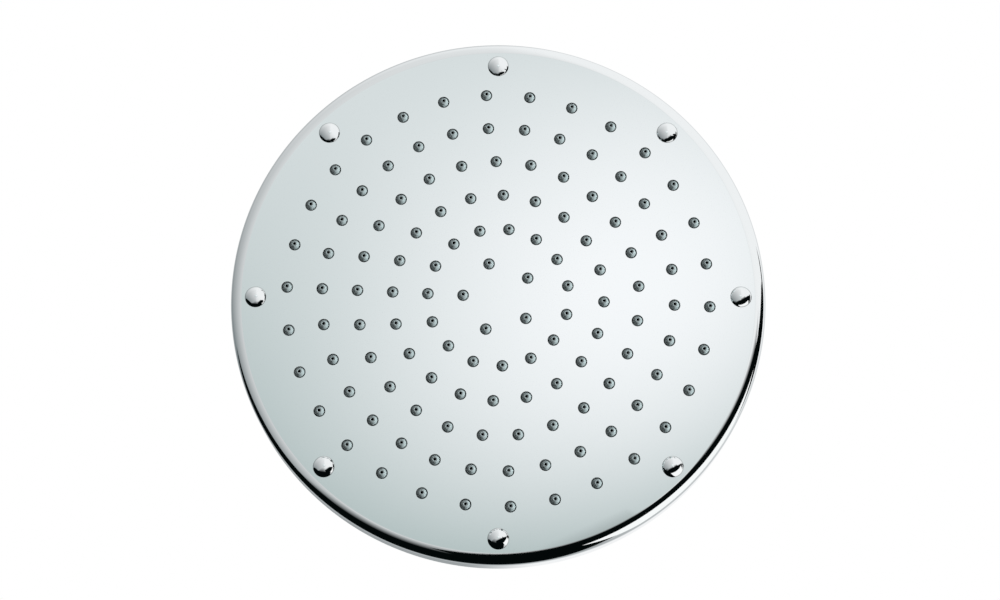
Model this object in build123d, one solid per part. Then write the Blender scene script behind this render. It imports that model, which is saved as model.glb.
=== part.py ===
from build123d import *
from math import acos, cos, degrees, radians, sin, sqrt
import os

# Round rain shower head that hangs face down on a ball joint. Millimetres, +Z up.
# The origin is the middle of the inlet's mouth, where the pipe screws in.

# Face pan, drawn from one sheet
face_radius = 125.0
sheet = 1.2
rim_round = 4.0
rim_depth = 15.4

# Dome screws, their threaded sleeves and the bosses that hold them
screw_count = 8
screw_inset = 7.8
dome_radius = 5.0
dome_height = 2.5
screw_radius = 2.0
screw_length = 9.0
screw_hole_gap = 0.2
insert_wall = 0.75
insert_length = 7.0
boss_wall = 0.95
boss_tip_room = 2.0

# Nozzles, in rings of equal pitch that all start on one radius
ring_counts = (5, 15, 20, 25, 30, 30)
ring_start = 2.74
field_inset = 14.56
nozzle_sides = 8
nozzle_root = 2.6
nozzle_tip = 1.6
nozzle_reach = 2.4
nozzle_gap = 0.25
jet_sides = 6
jet_entry = 1.5
jet_exit = 0.65

# Rubber mat that carries the nozzles
mat_thick = 1.6
mat_gap = 2.5
bead_width = 3.6
bead_height = 3.0

# Back shell
shell_thick = 3.0
shell_gap = 0.3
edge_step = 0.4
back_rise = 9.0
skirt_depth = 5.5
pad_margin = 4.0

# Inlet with its half-inch pipe thread, and what lies in it
thread_radius = 9.315
thread_length = 10.0
inlet_wall = 3.2
inlet_chamfer = 1.2
relief_depth = 1.4
washer_thick = 2.0
washer_hole = 6.5
washer_gap = 0.1
screen_thick = 0.5
screen_holes = 2
screen_pitch = 2.5
screen_hole = 1.0
regulator_radius = 6.9
regulator_height = 4.5
regulator_wall = 1.3
regulator_floor = 1.2
regulator_core = 2.4
regulator_slots = 8
slot_width = 1.0
regulator_ring_wall = 1.4
regulator_ring_thick = 1.6
pocket_gap = 0.2
inlet_floor = 1.6

# Ball joint
ball_radius = 12.0
neck_radius = 6.2
water_radius = 4.0
tilt_limit = 12.0
run_gap = 0.05
swing_gap = 0.8
ring_wall = 2.95
ring_low = 6.0
ring_high = 34.0
ring_slot = 1.2
seal_wall = 0.8
seal_high = -25.0
seal_low = -50.0
seal_foot = 2.3

# Collar nut and hub
mouth_gap = 0.3
mouth_flare = 0.9
lip = 1.2
collar_wall = 3.45
collar_round = 4.5
flute_count = 12
flute_radius = 3.0
flute_depth = 0.7
thread_wall = 2.45
thread_gap = 0.05
cavity_low = 2.0
collar_gap = 1.0
hub_floor = 2.0
flange_thick = 3.5
flange_ledge = 1.0
hub_bore = 6.5
shank_radius = 11.0
shank_gap = 0.2
gasket_thick = 1.5
gasket_inset = 2.0
hub_washer_width = 6.0
hub_washer_thick = 1.0
hub_nut_height = 5.0
hub_nut_wall = 4.0
shank_end = 1.0

# Radii that follow from the sizes above
flat_radius = face_radius - rim_round
screw_circle = flat_radius - screw_inset
insert_radius = screw_radius + insert_wall
boss_radius = insert_radius + boss_wall
ring_pitch = (screw_circle - field_inset) / len(ring_counts)
nozzle_hole = nozzle_root + nozzle_gap
mat_radius = screw_circle - boss_radius - mat_gap
shell_radius = face_radius - sheet - shell_gap
inlet_flat = thread_radius + inlet_wall
washer_radius = thread_radius - washer_gap
seat_sphere = ball_radius + run_gap
ring_sphere = seat_sphere + ring_wall
cavity_sphere = ring_sphere + run_gap
seal_radius = ball_radius + seal_wall
collar_mouth = ball_radius + mouth_gap
hub_thread = cavity_sphere + thread_wall
collar_radius = hub_thread + thread_gap + collar_wall
flange_radius = collar_radius + flange_ledge
shank_hole = shank_radius + shank_gap
pad_radius = flange_radius + pad_margin

# Heights, from the inlet's mouth down to the face
mouth_rise = sqrt(cavity_sphere**2 - collar_mouth**2)
full_tilt = acos(cos(radians(tilt_limit)) ** 2)
neck_reach = (mouth_rise + lip + swing_gap + inlet_flat * sin(full_tilt)) / cos(full_tilt)
shoulder_z = -(thread_length + screen_thick + washer_thick + swing_gap)
pocket_z = shoulder_z - regulator_height - pocket_gap
inlet_z = pocket_z - inlet_floor
ball_z = inlet_z - neck_reach
collar_top = ball_z + mouth_rise + lip
hub_top = ball_z + ring_sphere * sin(radians(ring_low - tilt_limit)) - swing_gap
seal_z = ball_z + seat_sphere * sin(radians(seal_low)) - seal_foot
recess_z = seal_z - run_gap
flange_z = recess_z - hub_floor
flange_top = flange_z + flange_thick
collar_z = flange_top + collar_gap
pad_z = flange_z - gasket_thick
hub_washer_z = pad_z - shell_thick - hub_washer_thick
hub_nut_z = hub_washer_z - hub_nut_height
shank_z = hub_nut_z - shank_end
edge_z = pad_z - back_rise
rim_z = edge_z + edge_step
face_z = rim_z - rim_depth
seat_z = face_z + sheet
mat_z = seat_z + mat_thick
bead_z = seat_z + bead_height
tip_z = face_z - nozzle_reach


def turned(*edges):
    """Solid of revolution about Z from the edges of a closed outline of (radius, height) points."""
    return revolve(Plane.XZ * make_face(list(edges)), Axis.Z)


def turned_outline(*points):
    """Solid of revolution about Z from the corners of an outline with straight sides."""
    return turned(Polyline(*points, close=True))


def ring(inner, outer, low, high):
    """Flat ring between two radii and two heights."""
    return turned_outline((inner, low), (outer, low), (outer, high), (inner, high))


def rod(radius, low, high):
    """Upright round rod on the Z axis between two heights."""
    return turned_outline((0, low), (radius, low), (radius, high), (0, high))


def tapered(sides, low_radius, low, high_radius, high):
    """Upright tapered plug on the Z axis with a few flat sides."""
    low_face = Pos(0, 0, low) * RegularPolygon(low_radius, sides)
    high_face = Pos(0, 0, high) * RegularPolygon(high_radius, sides)
    return loft([low_face, high_face], ruled=True)


def at_each(places, solid):
    """Copies of one solid at a list of places."""
    return [place * solid for place in places]


def on_sphere(radius, latitude):
    """Outline point on a sphere about the ball's centre."""
    angle = radians(latitude)
    return radius * cos(angle), ball_z + radius * sin(angle)


def sphere_arc(radius, first, last):
    """Outline arc on a sphere about the ball's centre, between two latitudes."""
    middle = (first + last) / 2
    return ThreePointArc(on_sphere(radius, first), on_sphere(radius, middle), on_sphere(radius, last))


def rim_corner(radius):
    """Outline arc of the pan's rounded edge, at a given radius about the round's own centre."""
    centre_z = face_z + rim_round
    slant = radius * cos(radians(45))
    return ThreePointArc(
        (flat_radius, centre_z - radius),
        (flat_radius + slant, centre_z - slant),
        (flat_radius + radius, centre_z),
    )


def back_height(radius, inset=0.0):
    """Height of the domed back at a radius, on a surface that lies inset below the outer one."""
    span = shell_radius - pad_radius
    dome = (span**2 + back_rise**2) / (2 * back_rise)
    return pad_z - dome + sqrt((dome - inset) ** 2 - (radius - pad_radius) ** 2)


def back_arc(start, end, inset=0.0):
    """Outline arc along the domed back between two radii."""
    radii = (start, (start + end) / 2, end)
    return ThreePointArc(*[(radius, back_height(radius, inset)) for radius in radii])


def screw_places():
    """Places of the screws, on their circle."""
    return list(PolarLocations(screw_circle, screw_count))


def nozzle_places():
    """Places of the nozzles, ring by ring."""
    places = []
    for number, count in enumerate(ring_counts, start=1):
        places += list(PolarLocations(number * ring_pitch, count, ring_start))
    return places


def make_face_pan():
    """Drilled flat face with a rounded edge and a side wall, all of one thickness."""
    nozzle_holes = at_each(nozzle_places(), RegularPolygon(nozzle_hole, nozzle_sides))
    screw_holes = at_each(screw_places(), Circle(screw_radius + screw_hole_gap))
    drilled = Circle(flat_radius) - nozzle_holes - screw_holes
    flat = extrude(Pos(0, 0, face_z) * drilled, sheet)
    inner_wall = face_radius - sheet
    rim = turned(
        rim_corner(rim_round),
        Polyline(
            (face_radius, face_z + rim_round),
            (face_radius, rim_z),
            (inner_wall, rim_z),
            (inner_wall, face_z + rim_round),
        ),
        rim_corner(rim_round - sheet),
        Line((flat_radius, seat_z), (flat_radius, face_z)),
    )
    return flat + rim


def make_nozzle_mat():
    """Rubber sheet with a raised edge bead and a tapered nozzle through each hole of the face."""
    sheet_disc = rod(mat_radius, seat_z, mat_z)
    bead = ring(mat_radius - bead_width, mat_radius, seat_z, bead_z)
    nozzle = tapered(nozzle_sides, nozzle_tip, tip_z, nozzle_root, seat_z)
    jet = tapered(jet_sides, jet_exit, tip_z, jet_entry, mat_z)
    mat = sheet_disc + bead + at_each(nozzle_places(), nozzle)
    return mat - at_each(nozzle_places(), jet)


def make_back_shell():
    """Domed back with a skirt inside the rim, a rib on the mat's bead and a boss over each screw."""
    skirt_inner = shell_radius - shell_thick
    skirt_z = edge_z - skirt_depth
    inside_z = pad_z - shell_thick
    shell = turned(
        Line((shank_hole, pad_z), (pad_radius, pad_z)),
        back_arc(pad_radius, shell_radius),
        Polyline(
            (shell_radius, edge_z),
            (shell_radius, skirt_z),
            (skirt_inner, skirt_z),
            (skirt_inner, back_height(skirt_inner, shell_thick)),
        ),
        back_arc(skirt_inner, pad_radius, shell_thick),
        Polyline((pad_radius, inside_z), (shank_hole, inside_z), (shank_hole, pad_z)),
    )
    rib_top = back_height(mat_radius, shell_thick / 2)
    rib = ring(mat_radius - bead_width, mat_radius, bead_z, rib_top)
    boss_top = back_height(screw_circle + boss_radius, shell_thick / 2)
    boss = rod(boss_radius, seat_z, boss_top)
    insert_z = seat_z + insert_length
    sleeve_hole = rod(insert_radius, seat_z, insert_z)
    tip_hole = rod(screw_radius + screw_hole_gap, insert_z, insert_z + boss_tip_room)
    shell = shell + rib + at_each(screw_places(), boss)
    return shell - at_each(screw_places(), sleeve_hole + tip_hole)


def make_dome_screws():
    """Smooth domed heads on the face, each with a shank that reaches into its sleeve."""
    dome_sphere = (dome_radius**2 + dome_height**2) / (2 * dome_height)
    half_rise = dome_sphere - dome_height / 2
    half_radius = sqrt(dome_sphere**2 - half_rise**2)
    screw = turned(
        ThreePointArc(
            (0, face_z - dome_height),
            (half_radius, face_z - dome_height / 2),
            (dome_radius, face_z),
        ),
        Polyline(
            (dome_radius, face_z),
            (screw_radius, face_z),
            (screw_radius, face_z + screw_length),
            (0, face_z + screw_length),
            (0, face_z - dome_height),
        ),
    )
    return Compound(at_each(screw_places(), screw))


def make_screw_inserts():
    """Threaded sleeve in each boss."""
    sleeve = ring(screw_radius + thread_gap, insert_radius, seat_z, seat_z + insert_length)
    return Compound(at_each(screw_places(), sleeve))


def make_hub_body():
    """Socket for the seal and the ball, with a thread for the collar and a flanged, threaded shank."""
    return turned_outline(
        (hub_bore, shank_z),
        (shank_radius, shank_z),
        (shank_radius, flange_z),
        (flange_radius, flange_z),
        (flange_radius, flange_top),
        (hub_thread, flange_top),
        (hub_thread, hub_top),
        (seal_radius + run_gap, hub_top),
        (seal_radius + run_gap, recess_z),
        (hub_bore, recess_z),
    )


def make_hub_gasket():
    """Flat gasket between the hub's flange and the back shell."""
    return ring(shank_hole, flange_radius - gasket_inset, pad_z, flange_z)


def make_hub_washer():
    """Washer between the back shell and the hub nut."""
    return ring(shank_hole, shank_hole + hub_washer_width, hub_washer_z, pad_z - shell_thick)


def make_hub_nut():
    """Hexagon nut that draws the hub down on the back shell."""
    flat = shank_radius + thread_gap + hub_nut_wall
    blank = extrude(Pos(0, 0, hub_nut_z) * RegularPolygon(flat, 6, major_radius=False), hub_nut_height)
    return blank - rod(shank_radius + thread_gap, hub_nut_z, hub_washer_z)


def make_collar_nut():
    """Fluted ring that screws on the hub and holds the friction ring down on the ball."""
    thread_bore = hub_thread + thread_gap
    cavity_edge = on_sphere(cavity_sphere, cavity_low)
    mouth_latitude = degrees(acos(collar_mouth / cavity_sphere))
    round_z = collar_top - collar_round
    round_radius = collar_radius - collar_round
    slant = collar_round * cos(radians(45))
    collar = turned(
        Polyline((thread_bore, collar_z), (thread_bore, cavity_edge[1]), cavity_edge),
        sphere_arc(cavity_sphere, cavity_low, mouth_latitude),
        Polyline(
            on_sphere(cavity_sphere, mouth_latitude),
            (collar_mouth + mouth_flare, collar_top),
            (round_radius, collar_top),
        ),
        ThreePointArc(
            (round_radius, collar_top),
            (round_radius + slant, round_z + slant),
            (collar_radius, round_z),
        ),
        Polyline((collar_radius, round_z), (collar_radius, collar_z), (thread_bore, collar_z)),
    )
    flute = rod(flute_radius, collar_z, collar_top)
    flute_circle = collar_radius + flute_radius - flute_depth
    return collar - at_each(PolarLocations(flute_circle, flute_count), flute)


def make_friction_ring():
    """Split ring with round inner and outer faces, between the ball and the collar."""
    split_ring = turned(
        sphere_arc(seat_sphere, ring_low, ring_high),
        Line(on_sphere(seat_sphere, ring_high), on_sphere(ring_sphere, ring_high)),
        sphere_arc(ring_sphere, ring_high, ring_low),
        Line(on_sphere(ring_sphere, ring_low), on_sphere(seat_sphere, ring_low)),
    )
    split = Pos(ring_sphere / 2, 0, ball_z) * Box(ring_sphere, ring_slot, 2 * ring_sphere)
    return split_ring - split


def make_ball_seal():
    """Rubber cup that the ball sits on, in the hub's recess."""
    inner_edge = on_sphere(seat_sphere, seal_low)
    top_edge = on_sphere(seat_sphere, seal_high)
    return turned(
        sphere_arc(seat_sphere, seal_low, seal_high),
        Polyline(
            top_edge,
            (seal_radius, top_edge[1]),
            (seal_radius, seal_z),
            (inner_edge[0], seal_z),
            inner_edge,
        ),
    )


def make_ball_connector():
    """Hexagon inlet, neck and ball turned from one bar, with the water way through the middle."""
    blank = extrude(Pos(0, 0, inlet_z) * RegularPolygon(inlet_flat, 6, major_radius=False), -inlet_z)
    corner = inlet_flat + inlet_chamfer
    barrel = turned_outline(
        (0, inlet_z),
        (inlet_flat, inlet_z),
        (corner, inlet_z + inlet_chamfer),
        (corner, -inlet_chamfer),
        (inlet_flat, 0),
        (0, 0),
    )
    neck = rod(neck_radius, ball_z, inlet_z)
    ball = Pos(0, 0, ball_z) * Sphere(ball_radius)
    water_way = rod(water_radius, ball_z - ball_radius, pocket_z)
    pocket = rod(regulator_radius + pocket_gap, pocket_z, shoulder_z)
    relief = rod(thread_radius + relief_depth, shoulder_z, -thread_length)
    thread_bore = rod(thread_radius, -thread_length, 0)
    return (blank & barrel) + neck + ball - [water_way, pocket, relief, thread_bore]


def make_regulator_body():
    """Cup with a core post and a ring of slots in its floor."""
    floor_z = pocket_z + regulator_floor
    top_z = pocket_z + regulator_height
    cup_inner = regulator_radius - regulator_wall
    cup = rod(regulator_radius, pocket_z, top_z) - rod(cup_inner, floor_z, top_z)
    core = rod(regulator_core, pocket_z, top_z)
    slot_length = cup_inner - regulator_core
    slot_middle = (cup_inner + regulator_core) / 2
    slot = Pos(0, 0, pocket_z + regulator_floor / 2) * Box(slot_length, slot_width, regulator_floor)
    return cup + core - at_each(PolarLocations(slot_middle, regulator_slots), slot)


def make_regulator_ring():
    """Elastic ring around the regulator's core, which closes on its slots as the pressure rises."""
    ring_z = pocket_z + regulator_floor
    inner = regulator_core + run_gap
    return ring(inner, inner + regulator_ring_wall, ring_z, ring_z + regulator_ring_thick)


def make_filter_screen():
    """Perforated disc that keeps grit out of the regulator and the nozzles."""
    top_z = shoulder_z + screen_thick
    hole = tapered(jet_sides, screen_hole, shoulder_z, screen_hole, top_z)
    places = [Pos(0, 0, 0)]
    for number in range(1, screen_holes + 1):
        places += list(PolarLocations(number * screen_pitch, 6 * number))
    return rod(washer_radius - washer_gap, shoulder_z, top_z) - at_each(places, hole)


def make_inlet_washer():
    """Rubber washer that the pipe's end presses on."""
    low = shoulder_z + screen_thick
    return ring(washer_hole, washer_radius, low, low + washer_thick)


pieces = {
    "face_pan": make_face_pan(),
    "nozzle_mat": make_nozzle_mat(),
    "back_shell": make_back_shell(),
    "dome_screws": make_dome_screws(),
    "screw_inserts": make_screw_inserts(),
    "hub_body": make_hub_body(),
    "hub_gasket": make_hub_gasket(),
    "hub_washer": make_hub_washer(),
    "hub_nut": make_hub_nut(),
    "collar_nut": make_collar_nut(),
    "friction_ring": make_friction_ring(),
    "ball_seal": make_ball_seal(),
    "ball_connector": make_ball_connector(),
    "regulator_body": make_regulator_body(),
    "regulator_ring": make_regulator_ring(),
    "filter_screen": make_filter_screen(),
    "inlet_washer": make_inlet_washer(),
}

os.makedirs("parts", exist_ok=True)
for name, piece in pieces.items():
    export_step(piece, f"parts/{name}.step")

print("inlet mouth to ball centre", round(-ball_z, 3))
print("inlet mouth to face", round(-face_z, 3))
print("nozzle ring pitch", round(ring_pitch, 3))
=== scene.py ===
import math

import bmesh
import bpy
from mathutils import Matrix, Vector


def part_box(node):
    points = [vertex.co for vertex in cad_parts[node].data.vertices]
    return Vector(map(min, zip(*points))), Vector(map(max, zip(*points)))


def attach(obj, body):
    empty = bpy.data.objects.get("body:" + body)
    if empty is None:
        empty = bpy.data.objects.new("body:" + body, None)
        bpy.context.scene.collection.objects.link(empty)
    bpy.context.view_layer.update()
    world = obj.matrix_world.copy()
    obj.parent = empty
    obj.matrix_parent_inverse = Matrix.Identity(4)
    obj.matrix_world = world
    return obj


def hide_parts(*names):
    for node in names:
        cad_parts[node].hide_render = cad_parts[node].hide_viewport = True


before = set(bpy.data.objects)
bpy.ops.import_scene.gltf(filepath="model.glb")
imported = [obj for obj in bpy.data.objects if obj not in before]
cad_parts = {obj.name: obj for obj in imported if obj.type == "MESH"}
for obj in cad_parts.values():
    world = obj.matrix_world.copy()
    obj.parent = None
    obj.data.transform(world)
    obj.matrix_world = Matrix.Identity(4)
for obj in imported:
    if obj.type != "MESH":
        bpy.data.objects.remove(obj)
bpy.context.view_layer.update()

# Face pan
# The shallow pan that is the whole spray face: one brass sheet drawn to a rounded edge, drilled for
# the nozzles and the screws, then polished and chromed. Screws round its edge hold it on the back.
MM = 0.001
pan_low, pan_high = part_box("face_pan")
face_z = pan_low.z
rim_z = pan_high.z
face_radius = pan_high.x
sheet = 1.2 * MM
seat_z = face_z + sheet
rim_round = 4 * MM
rim_reach = 5.4 * MM
flat_radius = face_radius - rim_reach
rim_edge = 0.3 * MM
hole_radius = 2.72 * MM
hole_roll = 0.06 * MM
hole_sides = 24
ring_counts = (5, 15, 20, 25, 30, 30)
ring_pitch = 16.44 * MM
ring_start = math.radians(2.74)
screw_count = 8
screw_circle = 113.2 * MM
screw_hole = 2.2 * MM
smooth_angle = math.radians(38)
seam_gap = 0.001 * MM
chrome_tones = ((0.90, 0.93, 0.93, 1), (0.93, 0.95, 0.95, 1))
chrome_haze = (0.03, 0.055)
cloud_span = (0.3, 0.7)
rim_sides = 256
rim_steps = 40
rim_inside_steps = 20


def arc(centre, radius, start, end, steps):
    """Outline points on an arc, from one angle to another, in degrees from the radius towards +Z."""
    points = []
    for step in range(steps + 1):
        angle = math.radians(start + (end - start) * step / steps)
        points.append((centre[0] + radius * math.cos(angle), centre[1] + radius * math.sin(angle)))
    return points


def eased(outline, ease, steps=3):
    """The closed outline with its sharp corners rounded off."""
    sharp = math.radians(25)
    points = []
    for index, spot in enumerate(outline):
        here = Vector(spot)
        back = Vector(outline[index - 1]) - here
        ahead = Vector(outline[(index + 1) % len(outline)]) - here
        turn = math.pi - back.angle(ahead)
        if turn < sharp or here.x < ease:
            points.append(here)
            continue
        reach = min(ease * math.tan(turn / 2), back.length / 2, ahead.length / 2)
        start = here + back.normalized() * reach
        end = here + ahead.normalized() * reach
        for step in range(steps + 1):
            share = step / steps
            points.append(start.lerp(here, share).lerp(here.lerp(end, share), share))
    return points


def turned(name, outline_at, around, closed=True):
    """Object turned about Z from an outline of (radius, height) points, which may change with the angle."""
    shape = bmesh.new()
    columns = []
    for turn in range(around):
        angle = 2 * math.pi * turn / around
        outline = outline_at(angle) if callable(outline_at) else outline_at
        columns.append([shape.verts.new((r * math.cos(angle), r * math.sin(angle), z)) for r, z in outline])
    rows = len(columns[0])
    for turn in range(around):
        here = columns[turn]
        ahead = columns[(turn + 1) % around]
        for row in range(rows if closed else rows - 1):
            after = (row + 1) % rows
            shape.faces.new((here[row], ahead[row], ahead[after], here[after]))
    mesh = bpy.data.meshes.new(name)
    shape.to_mesh(mesh)
    shape.free()
    made = bpy.data.objects.new(name, mesh)
    bpy.context.scene.collection.objects.link(made)
    return made


def settled(made, material=None):
    """Closes a finished mesh's seams, turns its faces outwards and gives flats and rounds clean shading."""
    shape = bmesh.new()
    shape.from_mesh(made.data)
    bmesh.ops.remove_doubles(shape, verts=shape.verts, dist=seam_gap)
    bmesh.ops.dissolve_degenerate(shape, edges=shape.edges, dist=seam_gap / 2)
    bmesh.ops.recalc_face_normals(shape, faces=shape.faces)
    shape.to_mesh(made.data)
    shape.free()
    if material:
        made.data.materials.clear()
        made.data.materials.append(material)
    made.data.shade_smooth()
    made.data.set_sharp_from_angle(angle=smooth_angle)
    weighted = made.modifiers.new("flat_shading", "WEIGHTED_NORMAL")
    weighted.keep_sharp = True
    weighted.weight = 100
    plain(made)
    return made


def plain(made):
    """Keeps what an object's modifiers give as its plain mesh."""
    depsgraph = bpy.context.evaluated_depsgraph_get()
    mesh = bpy.data.meshes.new_from_object(made.evaluated_get(depsgraph))
    made.modifiers.clear()
    made.data = mesh


def add(tree, kind, settings, inputs):
    """A node with its settings, and a value or a link for each named input."""
    made = tree.nodes.new(kind)
    for key, value in settings.items():
        setattr(made, key, value)
    for key, value in inputs.items():
        for part in value if isinstance(value, list) else [value]:
            if isinstance(part, bpy.types.NodeSocket):
                tree.links.new(part, made.inputs[key])
            else:
                made.inputs[key].default_value = part
    return made


def new_tree(name, sizes):
    """Geometry tree with a named input for each size, and its input node."""
    tree = bpy.data.node_groups.new(name, "GeometryNodeTree")
    tree.interface.new_socket("Geometry", in_out="INPUT", socket_type="NodeSocketGeometry")
    for size in sizes:
        tree.interface.new_socket(size, in_out="INPUT", socket_type="NodeSocketFloat")
    tree.interface.new_socket("Geometry", in_out="OUTPUT", socket_type="NodeSocketGeometry")
    return tree, tree.nodes.new("NodeGroupInput").outputs


def end_tree(tree, geometry, material):
    """Last nodes of a geometry tree: instances made real and the material set."""
    real = add(tree, "GeometryNodeRealizeInstances", {}, {"Geometry": geometry})
    dressed = add(tree, "GeometryNodeSetMaterial", {}, {"Geometry": real.outputs[0], "Material": material})
    add(tree, "NodeGroupOutput", {}, {"Geometry": dressed.outputs[0]})


def run_tree(made, tree, sizes):
    """Runs a geometry tree on an object with the given sizes, and keeps the result as its mesh."""
    modifier = made.modifiers.new(tree.name, "NODES")
    modifier.node_group = tree
    for item in tree.interface.items_tree:
        if item.in_out == "INPUT" and item.name in sizes:
            modifier[item.identifier] = float(sizes[item.name])
    plain(made)


def circle_points(tree, count, radius, start):
    """Points on a circle, the first at the start angle."""
    circle = add(tree, "GeometryNodeMeshCircle", {}, {"Vertices": count, "Radius": radius})
    turn = add(tree, "ShaderNodeCombineXYZ", {}, {"Z": start})
    moved = add(
        tree, "GeometryNodeTransform", {}, {"Geometry": circle.outputs[0], "Rotation": turn.outputs[0]}
    )
    return moved.outputs[0]


def nozzle_points(tree, pitch, start):
    """Points of all the nozzle rings, which start on one radius."""
    rings = []
    for number, count in enumerate(ring_counts, start=1):
        radius = add(tree, "ShaderNodeMath", {"operation": "MULTIPLY"}, {0: pitch, 1: number})
        rings.append(circle_points(tree, count, radius.outputs[0], start))
    return add(tree, "GeometryNodeJoinGeometry", {}, {"Geometry": rings}).outputs[0]


def copies(tree, points, geometry):
    """Copies of a geometry on points."""
    made = add(tree, "GeometryNodeInstanceOnPoints", {}, {"Points": points, "Instance": geometry})
    return made.outputs[0]


def drilled_side(tree, edge, edge_sides, drillings, height):
    """One side of a sheet: flat between its round edge and its round holes."""
    outer = add(tree, "GeometryNodeCurvePrimitiveCircle", {}, {"Resolution": edge_sides, "Radius": edge})
    curves = [outer.outputs["Curve"]]
    for points, radius in drillings:
        hole = add(tree, "GeometryNodeCurvePrimitiveCircle", {}, {"Resolution": hole_sides, "Radius": radius})
        holes = copies(tree, points, hole.outputs["Curve"])
        curves.append(add(tree, "GeometryNodeRealizeInstances", {}, {"Geometry": holes}).outputs[0])
    joined = add(tree, "GeometryNodeJoinGeometry", {}, {"Geometry": curves})
    filled = add(tree, "GeometryNodeFillCurve", {}, {"Curve": joined.outputs[0]})
    lift = add(tree, "ShaderNodeCombineXYZ", {}, {"Z": height})
    placed = add(
        tree, "GeometryNodeTransform", {}, {"Geometry": filled.outputs[0], "Translation": lift.outputs[0]}
    )
    return placed.outputs[0]


def lining(tree, points, liner):
    """Copies of a turned lining, one in each hole."""
    info = add(tree, "GeometryNodeObjectInfo", {}, {"Object": liner})
    return copies(tree, points, info.outputs["Geometry"])


def ranged(tree, source, span, levels, kind="LINEAR"):
    """Value that goes from one level to another as its source goes through a span."""
    made = add(
        tree,
        "ShaderNodeMapRange",
        {"interpolation_type": kind},
        {"Value": source, "From Min": span[0], "From Max": span[1], "To Min": levels[0], "To Max": levels[1]},
    )
    return made.outputs["Result"]


def mixed(tree, factor, first, second):
    """Colour between two colours."""
    made = add(tree, "ShaderNodeMix", {"data_type": "RGBA"}, {"Factor": factor, "A": first, "B": second})
    return made.outputs["Result"]


def chrome(name, scale):
    """Polished chrome: a cool mirror with faint clouding and hardly any haze."""
    material = bpy.data.materials.new(name)
    material.use_nodes = True
    tree = material.node_tree
    shader = tree.nodes["Principled BSDF"]
    shader.inputs["Metallic"].default_value = 1
    spot = add(tree, "ShaderNodeTexCoord", {}, {}).outputs["Object"]
    noise = {"Vector": spot, "Scale": scale, "Detail": 3, "Roughness": 0.5}
    cloud = add(tree, "ShaderNodeTexNoise", {}, noise).outputs["Fac"]
    tint = mixed(tree, cloud, chrome_tones[0], chrome_tones[1])
    haze = ranged(tree, cloud, cloud_span, chrome_haze)
    tree.links.new(tint, shader.inputs["Base Color"])
    tree.links.new(haze, shader.inputs["Roughness"])
    return material


face_chrome = chrome("face_chrome", 18)


def rim_turn(inset, start, end, steps):
    """Outline points round the pan's edge, which turns gently and then tight, at a depth in the sheet."""
    points = []
    for across, rise in arc((0, 0), 1, start, end, steps):
        radius = flat_radius + (rim_reach - inset) * across
        points.append((radius, face_z + rim_round + (rim_round - inset) * rise))
    return points


rim_start = face_z + rim_round
rim_inner = face_radius - sheet
rim_corners = [(face_radius, rim_z), (rim_inner, rim_z), (rim_inner, rim_start), (face_radius, rim_start)]

# The first two corners are the rim's own, with four points each
rim_ends = eased(rim_corners, rim_edge)[:8]
rim_outline = rim_turn(0.0, -90, 0, rim_steps) + rim_ends + rim_turn(sheet, 0, -90, rim_inside_steps)
face_pan = turned("drawn_face_pan", rim_outline, rim_sides, closed=False)
roll = arc((hole_radius + hole_roll, face_z + hole_roll), hole_roll, 270, 180, 3)
nozzle_lining = turned("nozzle_hole_lining", roll + [(hole_radius, seat_z)], hole_sides, closed=False)
screw_wall = [(screw_hole, face_z), (screw_hole, seat_z)]
screw_lining = turned("screw_hole_lining", screw_wall, hole_sides, closed=False)
face_tree, size = new_tree(
    "drilled_face",
    [
        "Flat Radius",
        "Front Hole",
        "Back Hole",
        "Front Height",
        "Back Height",
        "Ring Pitch",
        "Ring Start",
        "Screw Circle",
        "Screw Hole",
    ],
)
nozzles = nozzle_points(face_tree, size["Ring Pitch"], size["Ring Start"])
screws = circle_points(face_tree, screw_count, size["Screw Circle"], 0.0)
sides = [
    drilled_side(
        face_tree,
        size["Flat Radius"],
        rim_sides,
        [(nozzles, size[side + " Hole"]), (screws, size["Screw Hole"])],
        size[side + " Height"],
    )
    for side in ("Front", "Back")
]
linings = [lining(face_tree, nozzles, nozzle_lining), lining(face_tree, screws, screw_lining)]
whole = add(face_tree, "GeometryNodeJoinGeometry", {}, {"Geometry": [size["Geometry"]] + sides + linings})
end_tree(face_tree, whole.outputs[0], face_chrome)
run_tree(
    face_pan,
    face_tree,
    {
        "Flat Radius": flat_radius,
        "Front Hole": hole_radius + hole_roll,
        "Back Hole": hole_radius,
        "Front Height": face_z,
        "Back Height": seat_z,
        "Ring Pitch": ring_pitch,
        "Ring Start": ring_start,
        "Screw Circle": screw_circle,
        "Screw Hole": screw_hole,
    },
)
settled(face_pan, face_chrome)
bpy.data.objects.remove(nozzle_lining)
bpy.data.objects.remove(screw_lining)
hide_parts("face_pan")
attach(face_pan, "head")

# Nozzle mat
# One moulding of soft grey silicone behind the face, with a tapered nozzle through each hole and a raised
# bead round its edge. The back shell's rib presses the bead on the pan, and a thumb wipes the nozzles clean.
mat_low, mat_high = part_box("nozzle_mat")
mat_radius = mat_high.x
bead_z = mat_high.z
tip_z = mat_low.z
mat_thick = 1.6 * MM
mat_z = seat_z + mat_thick
bead_width = 3.6 * MM
bead_inner = mat_radius - bead_width
nozzle_root = 2.5 * MM
nozzle_tip = 1.56 * MM
tip_round = 0.6 * MM
tip_dish = 0.04 * MM
jet_entry = 1.5 * MM
jet_exit = 0.65 * MM
bead_ease = 0.5 * MM


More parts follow.
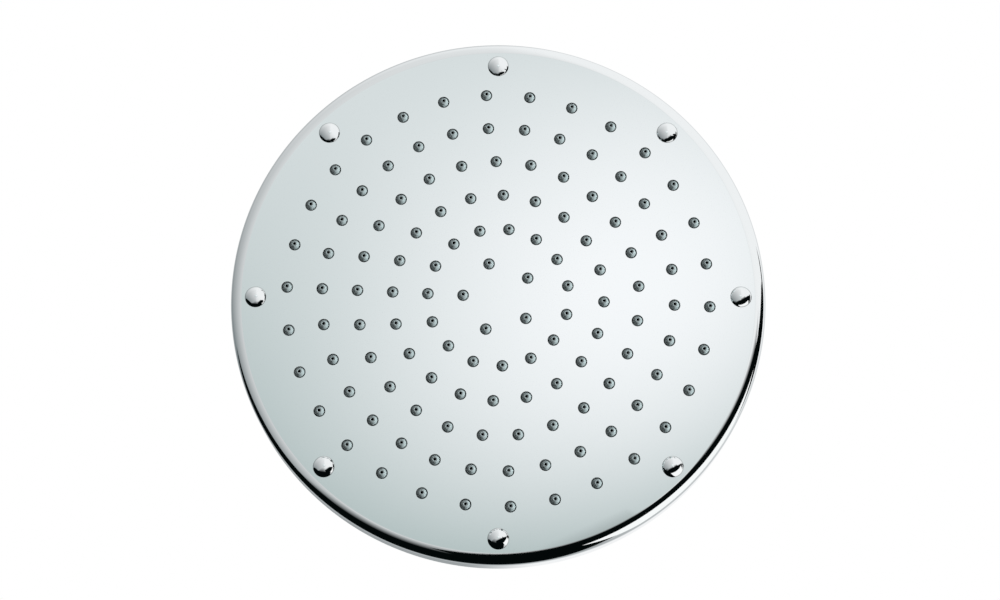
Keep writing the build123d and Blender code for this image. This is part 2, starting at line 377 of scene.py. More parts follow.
def moulded(name, colours, roughness):
    """Moulded rubber or plastic: faint mottling and a fine satin grain."""
    material = bpy.data.materials.new(name)
    material.use_nodes = True
    tree = material.node_tree
    shader = tree.nodes["Principled BSDF"]
    shader.inputs["Roughness"].default_value = roughness
    spot = add(tree, "ShaderNodeTexCoord", {}, {}).outputs["Object"]
    mottle = add(tree, "ShaderNodeTexNoise", {}, {"Vector": spot, "Scale": 900, "Detail": 4})
    tint = mixed(tree, mottle.outputs["Fac"], (*colours[0], 1), (*colours[1], 1))
    grain = add(tree, "ShaderNodeTexNoise", {}, {"Vector": spot, "Scale": 9000, "Detail": 2})
    bump = add(
        tree,
        "ShaderNodeBump",
        {},
        {"Height": grain.outputs["Fac"], "Strength": 0.15, "Distance": 0.02 * MM},
    )
    tree.links.new(tint, shader.inputs["Base Color"])
    tree.links.new(bump.outputs["Normal"], shader.inputs["Normal"])
    return material


nozzle_rubber = moulded("nozzle_rubber", ((0.080, 0.098, 0.100), (0.098, 0.119, 0.121)), 0.5)
bead_corners = [
    (0, seat_z),
    (mat_radius, seat_z),
    (mat_radius, bead_z),
    (bead_inner, bead_z),
    (bead_inner, mat_z),
    (0, mat_z),
]

# The two corners on the axis are left out, so that the flat sides of the mat meet the bead
bead_outline = eased(bead_corners, bead_ease)[1:-1]
mat = turned("rubber_nozzle_mat", bead_outline, rim_sides, closed=False)
nozzle_outline = (
    [(nozzle_root, seat_z)]
    + arc((nozzle_tip - tip_round, tip_z + tip_round), tip_round, -15, -90, 5)
    + [(jet_exit + tip_dish, tip_z + tip_dish), (jet_exit, tip_z + 2 * tip_dish), (jet_entry, mat_z)]
)
nozzle = turned("one_nozzle", nozzle_outline, hole_sides, closed=False)
mat_tree, size = new_tree(
    "nozzle_field",
    [
        "Front Edge",
        "Back Edge",
        "Front Hole",
        "Back Hole",
        "Front Height",
        "Back Height",
        "Ring Pitch",
        "Ring Start",
    ],
)
nozzles = nozzle_points(mat_tree, size["Ring Pitch"], size["Ring Start"])
sides = [
    drilled_side(
        mat_tree, size[side + " Edge"], rim_sides, [(nozzles, size[side + " Hole"])], size[side + " Height"]
    )
    for side in ("Front", "Back")
]
tips = lining(mat_tree, nozzles, nozzle)
whole = add(mat_tree, "GeometryNodeJoinGeometry", {}, {"Geometry": [size["Geometry"]] + sides + [tips]})
end_tree(mat_tree, whole.outputs[0], nozzle_rubber)
run_tree(
    mat,
    mat_tree,
    {
        "Front Edge": bead_outline[0][0],
        "Back Edge": bead_outline[-1][0],
        "Front Hole": nozzle_root,
        "Back Hole": jet_entry,
        "Front Height": seat_z,
        "Back Height": mat_z,
        "Ring Pitch": ring_pitch,
        "Ring Start": ring_start,
    },
)
settled(mat, nozzle_rubber)
bpy.data.objects.remove(nozzle)
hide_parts("nozzle_mat")
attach(mat, "head")

# Back shell
# The shallow domed back, moulded in plastic and chrome plated. Its skirt drops inside the pan's rim, a rib
# inside presses the mat's bead, and a boss stands over each screw.
shell_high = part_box("back_shell")[1]
shell_radius = shell_high.x
pad_z = shell_high.z
shell_thick = 3 * MM
back_rise = 9 * MM
skirt_depth = 5.5 * MM
pad_radius = 26 * MM
shank_hole = 11.2 * MM
shell_ease = 0.6 * MM
back_steps = 36
skirt_steps = 4
inside_steps = 24
boss_radius = 3.7 * MM
insert_radius = 2.75 * MM
insert_length = 7 * MM
boss_tip_room = 2 * MM
edge_z = pad_z - back_rise
skirt_z = edge_z - skirt_depth
skirt_inner = shell_radius - shell_thick
inside_z = pad_z - shell_thick


def back_height(radius, inset=0.0):
    """Height of the domed back at a radius, on a surface that lies inset below the outer one."""
    span = shell_radius - pad_radius
    dome = (span**2 + back_rise**2) / (2 * back_rise)
    return pad_z - dome + math.sqrt((dome - inset) ** 2 - (radius - pad_radius) ** 2)


def back_line(start, end, inset, steps):
    """Outline points along the domed back between two radii."""
    radii = [start + (end - start) * step / steps for step in range(steps + 1)]
    return [(radius, back_height(radius, inset)) for radius in radii]


shell_chrome = chrome("shell_chrome", 14)
shell_outline = eased(
    [(shank_hole, inside_z), (shank_hole, pad_z)]
    + back_line(pad_radius, shell_radius, 0.0, back_steps)
    + [(shell_radius, skirt_z), (skirt_inner, skirt_z)]
    + back_line(skirt_inner, mat_radius, shell_thick, skirt_steps)
    + [(mat_radius, bead_z), (bead_inner, bead_z)]
    + back_line(bead_inner, pad_radius, shell_thick, inside_steps),
    shell_ease,
)
back_shell = settled(turned("domed_back_shell", shell_outline, rim_sides))
boss_top = back_height(screw_circle + boss_radius, shell_thick / 2)
insert_z = seat_z + insert_length
boss_outline = [
    (boss_radius, seat_z),
    (boss_radius, boss_top),
    (0, boss_top),
    (0, insert_z + boss_tip_room),
    (screw_hole, insert_z + boss_tip_room),
    (screw_hole, insert_z),
    (insert_radius, insert_z),
    (insert_radius, seat_z),
]
boss = settled(turned("one_boss", boss_outline, hole_sides))
shell_tree, size = new_tree("bossed_shell", ["Screw Circle"])
screws = circle_points(shell_tree, screw_count, size["Screw Circle"], 0.0)
bosses = add(shell_tree, "GeometryNodeRealizeInstances", {}, {"Geometry": lining(shell_tree, screws, boss)})
whole = add(
    shell_tree,
    "GeometryNodeMeshBoolean",
    {"operation": "UNION", "solver": "EXACT"},
    {"Mesh 2": [size["Geometry"], bosses.outputs[0]]},
)
end_tree(shell_tree, whole.outputs[0], shell_chrome)
run_tree(back_shell, shell_tree, {"Screw Circle": screw_circle})
settled(back_shell, shell_chrome)
bpy.data.objects.remove(boss)
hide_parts("back_shell")
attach(back_shell, "head")

# Dome screws
# Eight smooth domed heads round the face, turned from brass, polished and chromed. Each shank goes through
# the pan into a threaded sleeve in the back shell; the heads carry no slot, so they turn by a pad.
screw_low, screw_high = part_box("dome_screws")
dome_radius = 5 * MM
dome_height = face_z - screw_low.z
screw_radius = 2 * MM
screw_top = screw_high.z
screw_ease = 0.2 * MM
# Depth and colour of painted shade: a dark ring painted into the chrome where each dome meets the face
painted_shade_depth = 0.6 * MM
painted_shade_colour = (0.16, 0.17, 0.17, 1)
screw_sides = 48
dome_steps = 24
dome_sphere = (dome_radius**2 + dome_height**2) / (2 * dome_height)
dome_centre = face_z - dome_height + dome_sphere
dome_edge = math.degrees(math.acos(dome_radius / dome_sphere))


def empty_mesh(name):
    """Object with no mesh yet, for a tree to fill."""
    made = bpy.data.objects.new(name, bpy.data.meshes.new(name))
    bpy.context.scene.collection.objects.link(made)
    return made


screw_chrome = chrome("screw_chrome", 120)
# The screws' chrome is painted darker in a thin ring next to the face, as painted shade of the line where
# dome and face meet
tree = screw_chrome.node_tree
shader = tree.nodes["Principled BSDF"]
unshaded_tint = shader.inputs["Base Color"].links[0].from_socket
spot = add(tree, "ShaderNodeTexCoord", {}, {}).outputs["Object"]
part = add(tree, "ShaderNodeSeparateXYZ", {}, {"Vector": spot}).outputs
painted_shade = ranged(tree, part["Z"], (face_z - painted_shade_depth, face_z), (0, 1))
tree.links.new(mixed(tree, painted_shade, unshaded_tint, painted_shade_colour), shader.inputs["Base Color"])
screw_outline = eased(
    arc((0, dome_centre), dome_sphere, -90, -dome_edge, dome_steps)
    + [(screw_radius, face_z), (screw_radius, screw_top), (0, screw_top)],
    screw_ease,
)
one_screw = settled(turned("one_dome_screw", screw_outline, screw_sides))
dome_screws = empty_mesh("chromed_dome_screws")
screw_tree, size = new_tree("screw_circle", ["Screw Circle"])
screws = circle_points(screw_tree, screw_count, size["Screw Circle"], 0.0)
end_tree(screw_tree, lining(screw_tree, screws, one_screw), screw_chrome)
run_tree(dome_screws, screw_tree, {"Screw Circle": screw_circle})
settled(dome_screws, screw_chrome)
bpy.data.objects.remove(one_screw)
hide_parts("dome_screws")
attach(dome_screws, "head")

# Screw sleeves
# Turned brass sleeves pressed into the shell's bosses, which take the dome screws. They keep the shape of
# their solids and get the look of bare metal.


def turned_metal(name, colours, roughness):
    """Bare metal from the lathe: a slight change of tone and fine tool lines round the axis."""
    material = bpy.data.materials.new(name)
    material.use_nodes = True
    tree = material.node_tree
    shader = tree.nodes["Principled BSDF"]
    shader.inputs["Metallic"].default_value = 1
    shader.inputs["Roughness"].default_value = roughness
    spot = add(tree, "ShaderNodeTexCoord", {}, {}).outputs["Object"]
    tone = add(tree, "ShaderNodeTexNoise", {}, {"Vector": spot, "Scale": 250, "Detail": 4})
    tint = mixed(tree, tone.outputs["Fac"], (*colours[0], 1), (*colours[1], 1))
    lines = add(
        tree,
        "ShaderNodeTexWave",
        {"wave_type": "BANDS", "bands_direction": "Z"},
        {"Vector": spot, "Scale": 1200, "Distortion": 0.6, "Detail": 1},
    )
    bump = add(
        tree, "ShaderNodeBump", {}, {"Height": lines.outputs["Fac"], "Strength": 0.2, "Distance": 0.01 * MM}
    )
    tree.links.new(tint, shader.inputs["Base Color"])
    tree.links.new(bump.outputs["Normal"], shader.inputs["Normal"])
    return material


def dress(node, material):
    """Puts a material on a solid that keeps its own shape."""
    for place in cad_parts[node].material_slots:
        place.material = material


brass = turned_metal("turned_brass", ((0.66, 0.50, 0.26), (0.74, 0.58, 0.32)), 0.28)
dress("screw_inserts", brass)

# Hub
# Turned brass socket, chromed, whose flange sits on the back shell's pad over a rubber gasket. Its threaded
# shank goes through the shell, where a steel washer and a brass nut draw it tight.
hub_low, hub_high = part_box("hub_body")
flange_radius = hub_high.x
hub_top = hub_high.z
shank_z = hub_low.z
flange_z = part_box("hub_gasket")[1].z
flange_thick = 3.5 * MM
flange_top = flange_z + flange_thick
seal_low, seal_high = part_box("ball_seal")
run_gap = 0.05 * MM
socket_radius = seal_high.x + run_gap
recess_z = seal_low.z - run_gap
hub_bore = 6.5 * MM
shank_radius = 11 * MM
hub_thread = 17.5 * MM
hub_ease = 0.5 * MM
fitting_sides = 240

fitting_chrome = chrome("fitting_chrome", 60)
hub_outline = eased(
    [
        (hub_bore, shank_z),
        (shank_radius, shank_z),
        (shank_radius, flange_z),
        (flange_radius, flange_z),
        (flange_radius, flange_top),
        (hub_thread, flange_top),
        (hub_thread, hub_top),
        (socket_radius, hub_top),
        (socket_radius, recess_z),
        (hub_bore, recess_z),
    ],
    hub_ease,
)
hub = settled(turned("flanged_hub", hub_outline, fitting_sides), fitting_chrome)
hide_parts("hub_body")
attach(hub, "head")
black_rubber = moulded("black_rubber", ((0.022, 0.022, 0.022), (0.035, 0.035, 0.034)), 0.6)
steel = turned_metal("stainless_steel", ((0.58, 0.59, 0.60), (0.66, 0.67, 0.68)), 0.3)
dress("hub_gasket", black_rubber)
dress("hub_washer", steel)
dress("hub_nut", brass)

# Ball seal and friction ring
# A black rubber cup under the ball keeps the water in, and a split ring of white acetal over it gives the
# joint its stiff, smooth slip.
white_plastic = moulded("white_acetal", ((0.82, 0.82, 0.79), (0.88, 0.88, 0.85)), 0.35)
dress("ball_seal", black_rubber)
dress("friction_ring", white_plastic)

# Ball connector
# Inlet hexagon, neck and ball turned from one brass bar, polished and chromed. The half-inch pipe thread is
# cut down its mouth, and the water runs through its middle.
inlet_low, inlet_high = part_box("ball_connector")
inlet_chamfer = 1.2 * MM
inlet_flat = inlet_high.x - inlet_chamfer
ball_radius = 12 * MM
water_radius = 4 * MM
ball_z = inlet_low.z + math.sqrt(ball_radius**2 - water_radius**2)
inlet_z = -19.6 * MM
inlet_floor = 1.6 * MM
neck_radius = 6.2 * MM
pocket_radius = 7.1 * MM
pocket_depth = 4.7 * MM
pocket_z = inlet_z + inlet_floor
shoulder_z = pocket_z + pocket_depth
thread_crest = 9.315 * MM
thread_root = 10.478 * MM
thread_pitch = 1.814 * MM
thread_z = -10 * MM
thread_steps = 72
ball_steps = 48
relief_depth = 1.4 * MM
relief_radius = thread_crest + relief_depth
edge_soft = 0.12 * MM
hexagon_steps = (0.0, 0.06, 0.15, 0.35, 0.6, 0.85, 1.05, 1.25, 1.6)


def soft_least(first, second, soft):
    """The lesser of two radii, rounded where they meet."""
    gap = max(soft - abs(first - second), 0.0) / soft
    return min(first, second) - gap * gap * soft / 4


def hexagon_radius(angle, from_end):
    """Radius of the inlet's hexagon, whose corners are turned down and chamfered towards both ends."""
    turn = math.radians(60)
    side = inlet_flat / math.cos((angle % turn) - turn / 2)
    return soft_least(side, inlet_flat + min(from_end, inlet_chamfer), edge_soft)


def thread_radius(angle, height):
    """Radius of the pipe thread's wall, which winds right-handed and opens to a lead-in at the mouth."""
    wave = math.cos(2 * math.pi * height / thread_pitch - angle)
    cut = (thread_crest + thread_root) / 2 + (thread_root - thread_crest) / 2 * wave
    return max(cut, thread_root + height)


def connector_outline(angle):
    """Outline of the connector at one angle: ball, neck, hexagon, thread, and the water way back down."""
    water_edge = math.degrees(math.acos(water_radius / ball_radius))
    neck_edge = math.degrees(math.acos(neck_radius / ball_radius))
    outline = arc((0, ball_z), ball_radius, -water_edge, neck_edge, ball_steps) + [(neck_radius, inlet_z)]
    rises = [step * MM for step in hexagon_steps]
    outline += [(hexagon_radius(angle, rise), inlet_z + rise) for rise in rises]
    outline += [(hexagon_radius(angle, rise), -rise) for rise in reversed(rises)]
    heights = [thread_z * step / thread_steps for step in range(thread_steps + 1)]
    outline += [(thread_radius(angle, height), height) for height in heights]
    return outline + [
        (relief_radius, thread_z),
        (relief_radius, shoulder_z),
        (pocket_radius, shoulder_z),
        (pocket_radius, pocket_z),
        (water_radius, pocket_z),
    ]


connector = settled(turned("ball_and_inlet", connector_outline, fitting_sides), fitting_chrome)
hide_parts("ball_connector")
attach(connector, "inlet")

# Collar nut
# Fluted ring turned from brass and chromed. It screws down on the hub and presses the friction ring on the
# ball, so that its grip sets how stiff the joint is.
collar_low, collar_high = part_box("collar_nut")
collar_radius = 21 * MM
collar_z = collar_low.z
collar_top = collar_high.z
collar_round = 4.5 * MM
collar_mouth = 12.3 * MM
mouth_flare = 0.9 * MM
cavity_sphere = 15.05 * MM
cavity_low = 2.0
thread_bore = hub_thread + run_gap
collar_ease = 0.4 * MM
flute_count = 12
flute_radius = 3 * MM
flute_depth = 0.7 * MM
flute_centre = collar_radius + flute_radius - flute_depth
mouth_edge = math.degrees(math.acos(collar_mouth / cavity_sphere))
collar_sides = 480
cavity_steps = 10
shoulder_steps = 18
cavity_rise = cavity_sphere * math.sin(math.radians(cavity_low))
collar_profile = eased(
    [(thread_bore, collar_z), (thread_bore, ball_z + cavity_rise)]
    + arc((0, ball_z), cavity_sphere, cavity_low, mouth_edge, cavity_steps)
    + [(collar_mouth + mouth_flare, collar_top)]
    + arc((collar_radius - collar_round, collar_top - collar_round), collar_round, 90, 0, shoulder_steps)
    + [(collar_radius, collar_z)],
    collar_ease,
)


def collar_outline(angle):
    """Outline of the collar at one angle, cut back where a flute runs."""
    spacing = 2 * math.pi / flute_count
    off = (angle + spacing / 2) % spacing - spacing / 2
    across = flute_centre * math.sin(off)
    if abs(across) >= flute_radius:
        return collar_profile
    limit = flute_centre * math.cos(off) - math.sqrt(flute_radius**2 - across**2)
    return [(soft_least(radius, limit, edge_soft), height) for radius, height in collar_profile]


collar = settled(turned("fluted_collar_nut", collar_outline, collar_sides), fitting_chrome)
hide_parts("collar_nut")
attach(collar, "head")

# Flow regulator
# Green moulded cup in the bottom of the inlet, with a black elastic ring that closes on its slots as the
# pressure rises.
green_plastic = moulded("green_plastic", ((0.26, 0.50, 0.34), (0.33, 0.58, 0.41)), 0.4)
dress("regulator_body", green_plastic)
dress("regulator_ring", black_rubber)

# Filter screen and inlet washer
# A perforated stainless disc keeps grit out, and a black rubber washer lies on it for the pipe's end to press
# on. The disc is drilled in rings, and the washer keeps the shape of its solid.
screen_low, screen_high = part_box("filter_screen")
screen_radius = screen_high.x
screen_z = screen_low.z
screen_top = screen_high.z
screen_pitch = 2.5 * MM
screen_hole = 1 * MM
screen_rings = 2
first_ring = 6
screen_sides = 96
screen_wall = [(screen_radius, screen_z), (screen_radius, screen_top)]
screen = turned("perforated_filter_screen", screen_wall, screen_sides, closed=False)
hole_line = [(screen_hole, screen_top), (screen_hole, screen_z)]
hole_wall = turned("screen_hole_lining", hole_line, hole_sides, closed=False)
screen_tree, size = new_tree("perforated_disc", ["Edge", "Hole", "Pitch", "Low", "High"])
rings = [add(screen_tree, "GeometryNodePoints", {}, {"Count": 1}).outputs[0]]
for number in range(1, screen_rings + 1):
    radius = add(screen_tree, "ShaderNodeMath", {"operation": "MULTIPLY"}, {0: size["Pitch"], 1: number})
    rings.append(circle_points(screen_tree, first_ring * number, radius.outputs[0], 0.0))
sides = []
for level in ("Low", "High"):
    drillings = [(points, size["Hole"]) for points in rings]
    sides.append(drilled_side(screen_tree, size["Edge"], screen_sides, drillings, size[level]))
walls = [lining(screen_tree, points, hole_wall) for points in rings]
whole = add(screen_tree, "GeometryNodeJoinGeometry", {}, {"Geometry": [size["Geometry"]] + sides + walls})
end_tree(screen_tree, whole.outputs[0], steel)
run_tree(
    screen,
    screen_tree,
    {"Edge": screen_radius, "Hole": screen_hole, "Pitch": screen_pitch, "Low": screen_z, "High": screen_top},
)
settled(screen, steel)
bpy.data.objects.remove(hole_wall)
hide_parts("filter_screen")
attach(screen, "inlet")
dress("inlet_washer", black_rubber)

# Floor
# Plain pale floor far below the head. It is matt under the head and fades to white further out, and the metal
# doesn't see it.
floor_half = 8.0
floor_z = -1.7
floor_fade = 4.0
floor_colour = (0.82, 0.82, 0.81, 1)
white_colour = (1, 1, 1, 1)


def card_mesh(name, corners, faces):
    """Card of the studio, which isn't part of the head."""
    mesh = bpy.data.meshes.new(name)
    mesh.from_pydata(corners, [], faces)
    made = bpy.data.objects.new(name, mesh)
    bpy.context.scene.collection.objects.link(made)
    return made


def level_square(half, height):
    """Corners of a level square about the Z axis."""
    return [(-half, -half, height), (half, -half, height), (half, half, height), (-half, half, height)]


floor = card_mesh("pale_floor", level_square(floor_half, floor_z), [(0, 1, 2, 3)])
floor.visible_glossy = False
floor_paint = bpy.data.materials.new("pale_floor")
floor_paint.use_nodes = True
tree = floor_paint.node_tree
spot = add(tree, "ShaderNodeTexCoord", {}, {}).outputs["Object"]
spread = add(tree, "ShaderNodeMapping", {}, {"Vector": spot, "Scale": (1 / floor_fade, 1 / floor_fade, 0)})
reach = add(tree, "ShaderNodeTexGradient", {"gradient_type": "SPHERICAL"}, {"Vector": spread.outputs[0]})
matt = add(tree, "ShaderNodeBsdfDiffuse", {}, {"Color": floor_colour})
white = add(tree, "ShaderNodeEmission", {}, {"Color": white_colour, "Strength": 1.0})
blend = add(
    tree,
    "ShaderNodeMixShader",
    {},
    {0: reach.outputs["Fac"], 1: white.outputs[0], 2: matt.outputs[0]},
)
tree.links.new(blend.outputs[0], tree.nodes["Material Output"].inputs["Surface"])
floor.data.materials.append(floor_paint)

# Pool of light
# Soft bright patch far below the face, which the polished face mirrors: brightest a little right of the
# middle, cooler and darker round it. Like the other cards, only the metal sees it.
pool_ahead = 1.5
pool_half = 1.6
pool_middle = (0, 0.3586, face_z - pool_ahead)
pool_span = 0.268
pool_level = 0.798
pool_slope = (-0.485, -0.004, 0)
pool_bend = (0.256, 0.480, 0)
pool_turn_across = (0.20, 0.36, 0)
pool_turn_up = (0.245, 0.18, 0)
pool_dark = (0.485, 0.560, 0.560, 1)
pool_bright = (1.02, 1.02, 1.04, 1)
pool_edge = (0.29, 0.42)


def studio_card(name, corners, colour, faces=((0, 1, 2, 3),)):
    """Card of one colour that shows only in reflections, with its tree and its glow."""
    made = card_mesh(name, corners, faces)
    made.visible_camera = False
    made.visible_diffuse = False
    made.visible_shadow = False
    made.visible_transmission = False
    paint = bpy.data.materials.new(name)
    paint.use_nodes = True
    tree = paint.node_tree
    tree.nodes.remove(tree.nodes["Principled BSDF"])
    glow = add(tree, "ShaderNodeEmission", {}, {"Color": colour, "Strength": 1.0})
    tree.links.new(glow.outputs[0], tree.nodes["Material Output"].inputs["Surface"])
    made.data.materials.append(paint)
    return tree, glow


def give_way(tree, glow, fade):
    """Lets a card's glow give way to what lies behind it."""
    clear = add(tree, "ShaderNodeBsdfTransparent", {}, {})
    blend = add(tree, "ShaderNodeMixShader", {}, {0: fade, 1: glow.outputs[0], 2: clear.outputs[0]})
    tree.links.new(blend.outputs[0], tree.nodes["Material Output"].inputs["Surface"])


def calc(tree, operation, *inputs):
    """Result of an operation on values."""
    return add(tree, "ShaderNodeMath", {"operation": operation}, dict(enumerate(inputs))).outputs[0]


def vector(tree, operation, inputs):
    """Result of an operation on vectors."""
    return add(tree, "ShaderNodeVectorMath", {"operation": operation}, inputs).outputs[0]


def dot(tree, first, second):
    """Dot product of two vectors."""
    made = add(tree, "ShaderNodeVectorMath", {"operation": "DOT_PRODUCT"}, {0: first, 1: second})
    return made.outputs["Value"]


tree, glow = studio_card("light_pool", level_square(pool_half, face_z - pool_ahead), pool_bright)
spot = add(tree, "ShaderNodeTexCoord", {}, {}).outputs["Object"]
moved = vector(tree, "SUBTRACT", {0: spot, 1: pool_middle})
spread = vector(tree, "SCALE", {0: moved, "Scale": 1 / pool_span})
square = vector(tree, "MULTIPLY", {0: spread, 1: spread})
across = dot(tree, square, pool_turn_across)
up = dot(tree, square, pool_turn_up)
lean = add(tree, "ShaderNodeCombineXYZ", {}, {"X": across, "Y": up}).outputs[0]
slope = calc(tree, "SUBTRACT", dot(tree, spread, pool_slope), dot(tree, square, pool_bend))
whole = calc(tree, "ADD", slope, dot(tree, spread, lean))
level = add(tree, "ShaderNodeMath", {"operation": "ADD", "use_clamp": True}, {0: whole, 1: pool_level})
tree.links.new(mixed(tree, level.outputs[0], pool_dark, pool_bright), glow.inputs["Color"])
far = add(tree, "ShaderNodeVectorMath", {"operation": "LENGTH"}, {0: moved}).outputs["Value"]
give_way(tree, glow, ranged(tree, far, pool_edge, (0, 1), "SMOOTHSTEP"))

# Flags and white card
# Black flags beside the face give the domes and the rim their dark bands, and strips along two of them soften
# the bands. Those to the right shade only what is close. Beyond them, a white card and a last black one give
# the lower right its white edge and thin dark line.
flag_colour = (0.0012, 0.0025, 0.0026, 1)
card_colour = (1.02, 1.02, 1.02, 1)
low_way = 264
low_out = 0.57
low_reach = 2.0
right_way = 296
right_out = 0.125
right_reach = 0.275
reach_blur = 0.01
far_reach = 0.40
far_blur = 0.02
outer_way = 302
outer_out = 0.164
outer_ahead = 0.052

# Stations of the low flag: along, out and ahead of its near edge, and ahead of its far one
low_stations = (
    (0.20, 0.200, 0.115, -0.19),
    (-0.22, 0.190, 0.115, -0.36),
    (-0.42, 0.185, 0.16, -0.43),
    (-2.6, 0.185, 0.16, -1.15),
)

# Stations of the right flag's near edge: along and ahead
right_stations = ((-0.12, 0.140), (0.3, 0.218), (0.9, 0.330))

# Stations of the soft strips: along, then out and ahead of the black side and of the clear one
low_soft_stations = (
    (0.20, 0.200, 0.115, 0.115, 0.16),
    (-0.06, 0.197, 0.115, 0.112, 0.16),
    (-0.10, 0.195, 0.115, 0.108, 0.16),
    (-0.13, 0.194, 0.115, 0.125, 0.16),
    (-0.16, 0.192, 0.115, 0.150, 0.14),
    (-0.22, 0.190, 0.115, 0.189, 0.12),
)
right_soft_stations = (
    (-0.12, 0.125, 0.140, 0.124, 0.141),
    (-0.05, 0.125, 0.153, 0.100, 0.173),
    (-0.02, 0.125, 0.1585, 0.094, 0.1785),
    (0.03, 0.125, 0.168, 0.094, 0.188),
    (0.055, 0.125, 0.1725, 0.118, 0.1925),
    (0.075, 0.125, 0.176, 0.115, 0.196),
    (0.10, 0.125, 0.181, 0.075, 0.201),
    (0.30, 0.125, 0.218, 0.065, 0.238),
)

# Corners of the end flag and the white card: out, along and ahead
end_corners = (
    (outer_out, 0.19, outer_ahead),
    (outer_out, 1.1, 0.14),
    (0.24, 1.1, -0.02),
    (0.24, 0.16, -0.005),
)
white_corners = (
    (outer_out, -0.035, outer_ahead),
    (outer_out, 0.19, outer_ahead),
    (0.27, 0.17, -0.03),
    (0.27, 0.015, -0.03),
)


def beside_face(way, out, along, ahead):
    """Point out from the face's axis in a direction in degrees, along a line across it, and ahead."""
    turn = math.radians(way)
    right = out * math.cos(turn) - along * math.sin(turn)
    up = out * math.sin(turn) + along * math.cos(turn)
    return (-right, up, face_z - ahead)


def past(tree, reach, blur):
    """One for what lies further from a card than its reach, and zero for what is closer."""
    length = add(tree, "ShaderNodeLightPath", {}, {}).outputs["Ray Length"]
    return ranged(tree, length, (reach, reach + blur), (0, 1))


def soft_edge(name, way, stations, reach):
    """Strip that goes from black on one side to clear on the other, for what is closer than its reach."""
    corners = []
    faces = []
    for number, (along, out, ahead, clear_out, clear_ahead) in enumerate(stations):
        corners.append(beside_face(way, out, along, ahead))
        corners.append(beside_face(way, clear_out, along, clear_ahead))
        faces.append((2 * number, 2 * number + 1, 2 * number + 3, 2 * number + 2))
    tree, glow = studio_card(name, corners, flag_colour, faces[:-1])
    shares = bpy.data.objects[name].data.attributes.new("clear_share", "FLOAT", "POINT")
    shares.data.foreach_set("value", [0.0, 1.0] * len(stations))
    share = add(tree, "ShaderNodeAttribute", {"attribute_name": "clear_share"}, {}).outputs["Fac"]
    give_way(tree, glow, calc(tree, "MAXIMUM", share, past(tree, reach, reach_blur)))


soft_edge("low_soft_edge", low_way, low_soft_stations, low_reach)
soft_edge("right_soft_edge", right_way, right_soft_stations, right_reach)
for number, stretch in enumerate(zip(low_stations, low_stations[1:])):
    (start, near, front, back), (end, end_near, end_front, end_back) = stretch
    studio_card(
        f"low_flag_{number}",
        [
            beside_face(low_way, near, start, front),
            beside_face(low_way, end_near, end, end_front),
            beside_face(low_way, low_out, end, end_back),
            beside_face(low_way, low_out, start, back),
        ],
        flag_colour,
    )
right_flags = (("right_flag", right_reach, reach_blur), ("far_flag", far_reach, far_blur))
for (name, reach, blur), stretch in zip(right_flags, zip(right_stations, right_stations[1:])):
    (start, front), (end, end_front) = stretch
    tree, glow = studio_card(
        name,
        [
            beside_face(right_way, right_out, start, front),
            beside_face(right_way, right_out, end, end_front),
            beside_face(outer_way, outer_out, end, outer_ahead),
            beside_face(outer_way, outer_out, start, outer_ahead),
        ],
        flag_colour,
    )
    give_way(tree, glow, past(tree, reach, blur))
studio_card("end_flag", [beside_face(outer_way, *corner) for corner in end_corners], flag_colour)
studio_card("white_card", [beside_face(outer_way, *corner) for corner in white_corners], card_colour)

# Room
# White behind the head for the camera. The metal sees a soft, cool room, brighter to the right and to the top
# of the picture, more even above the head, and half grey and half white straight above it. Matt pieces get
# a dim, even light.
room_levels = (
    (0.0, 0.68),
    (0.07, 0.67),
    (0.25, 0.64),
    (0.5, 0.56),
    (0.62, 0.47),
    (0.8, 0.44),
    (0.93, 0.58),
    (0.97, 0.7),
)
room_gain = (1.035, 1.0, 1.0)
room_cast = (-0.035, 0.0, 0.01)
right_slope = 0.29
glow_span = (0.0, -0.15)
glow_levels = (0.0, 0.12)
top_span = (-0.5, 0.0)
top_slopes = (0.22, 0.37)
overhead_span = (0.25, 0.65)
overhead_shares = (1.0, 0.35)
zenith_turn = (0.93, 0.985)
zenith_span = (0.05, -0.055)
zenith_levels = (0.36, 0.92)
room_ceiling = 0.93
ceiling_blend = 0.12
dim_light = (0.06, 0.06, 0.06, 1)
room = bpy.data.worlds.new("studio_room")
bpy.context.scene.world = room
room.use_nodes = True
tree = room.node_tree
ground = tree.nodes["Background"]
way = add(tree, "ShaderNodeTexCoord", {}, {}).outputs["Generated"]
part = add(tree, "ShaderNodeSeparateXYZ", {}, {"Vector": way}).outputs
ramp = add(tree, "ShaderNodeValToRGB", {}, {"Fac": ranged(tree, part["Z"], (-1, 1), (0, 1))})
stops = ramp.color_ramp.elements
while len(stops) < len(room_levels):
    stops.new(0.5)
for stop, (place, tone) in zip(stops, room_levels):
    stop.position = place
    stop.color = (tone, tone, tone, 1)
top = calc(tree, "MULTIPLY", part["Y"], ranged(tree, part["Z"], top_span, top_slopes))
side = calc(tree, "MULTIPLY_ADD", part["X"], -right_slope, top)
share = ranged(tree, part["Z"], overhead_span, overhead_shares)
base = calc(tree, "MULTIPLY_ADD", side, share, ramp.outputs["Color"])
bright = calc(tree, "ADD", base, ranged(tree, part["X"], glow_span, glow_levels))
capped = calc(tree, "SMOOTH_MIN", bright, room_ceiling, ceiling_blend)
overhead = ranged(tree, part["Z"], zenith_turn, (0, 1), "SMOOTHSTEP")
zenith = ranged(tree, part["X"], zenith_span, zenith_levels, "SMOOTHSTEP")
level = add(tree, "ShaderNodeMix", {}, {"Factor": overhead, "A": capped, "B": zenith}).outputs[0]
soft = vector(tree, "MULTIPLY_ADD", {0: level, 1: room_gain, 2: room_cast})
rays = add(tree, "ShaderNodeLightPath", {}, {}).outputs
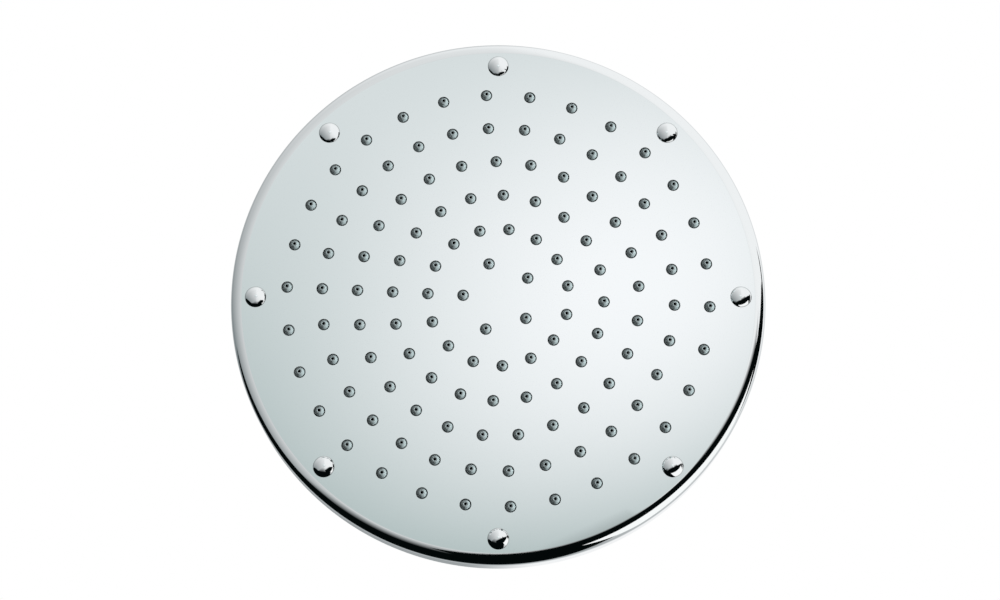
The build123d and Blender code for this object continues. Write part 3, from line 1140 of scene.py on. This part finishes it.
seen = mixed(tree, rays["Is Glossy Ray"], dim_light, soft)
shown = mixed(tree, rays["Is Camera Ray"], seen, white_colour)
tree.links.new(shown, ground.inputs["Color"])
ground.inputs["Strength"].default_value = 1.0

# Lights
# A low lamp rakes across the nozzles from the right, a weak one fills in from the top of the picture, and a
# broad one lights the back from above. The metal doesn't see them.
low_lamps = (("raking_lamp", 350, 205), ("fill_lamp", 80, 35))
low_lamp_out = 1.9
low_lamp_ahead = 0.40
low_lamp_size = 0.5
top_lamp_place = (0.5, -0.6, 1.6)
top_lamp_size = 1.2
top_lamp_power = 90


def lamp(name, place, aim, size, power):
    """Square soft lamp that points at a spot."""
    data = bpy.data.lights.new(name, "AREA")
    data.shape = "SQUARE"
    data.size = size
    data.energy = power
    made = bpy.data.objects.new(name, data)
    bpy.context.scene.collection.objects.link(made)
    away = (Vector(place) - Vector(aim)).to_track_quat("Z", "Y")
    made.matrix_world = Matrix.Translation(place) @ away.to_matrix().to_4x4()
    made.visible_glossy = False


for name, way, power in low_lamps:
    place = beside_face(way, low_lamp_out, 0.0, low_lamp_ahead)
    lamp(name, place, (0, 0, face_z), low_lamp_size, power)
lamp("top_lamp", top_lamp_place, (0, 0, 0), top_lamp_size, top_lamp_power)

# Camera
# Long lens below the face, as the photograph was taken: a little off the face's own axis. Its distance,
# direction and lens were fitted to the nozzles in the photograph.
view_distance = 1.1069
view_back = Vector((0, -0.2325, -0.9726)).normalized()
view_right = Vector((-1, 0, 0))
view_up = view_back.cross(view_right)
camera_data = bpy.data.cameras.new("face_camera")
camera_data.sensor_width = 36
camera_data.lens = 85.46
camera_data.shift_x = 0.00173
camera_data.shift_y = -0.00311
camera = bpy.data.objects.new("face_camera", camera_data)
bpy.context.scene.collection.objects.link(camera)
turn = Matrix((view_right, view_up, view_back)).transposed().to_4x4()
camera.matrix_world = Matrix.Translation(Vector((0, 0, face_z)) + view_back * view_distance) @ turn
bpy.context.scene.camera = camera

bpy.context.scene.view_settings.view_transform = "Standard"
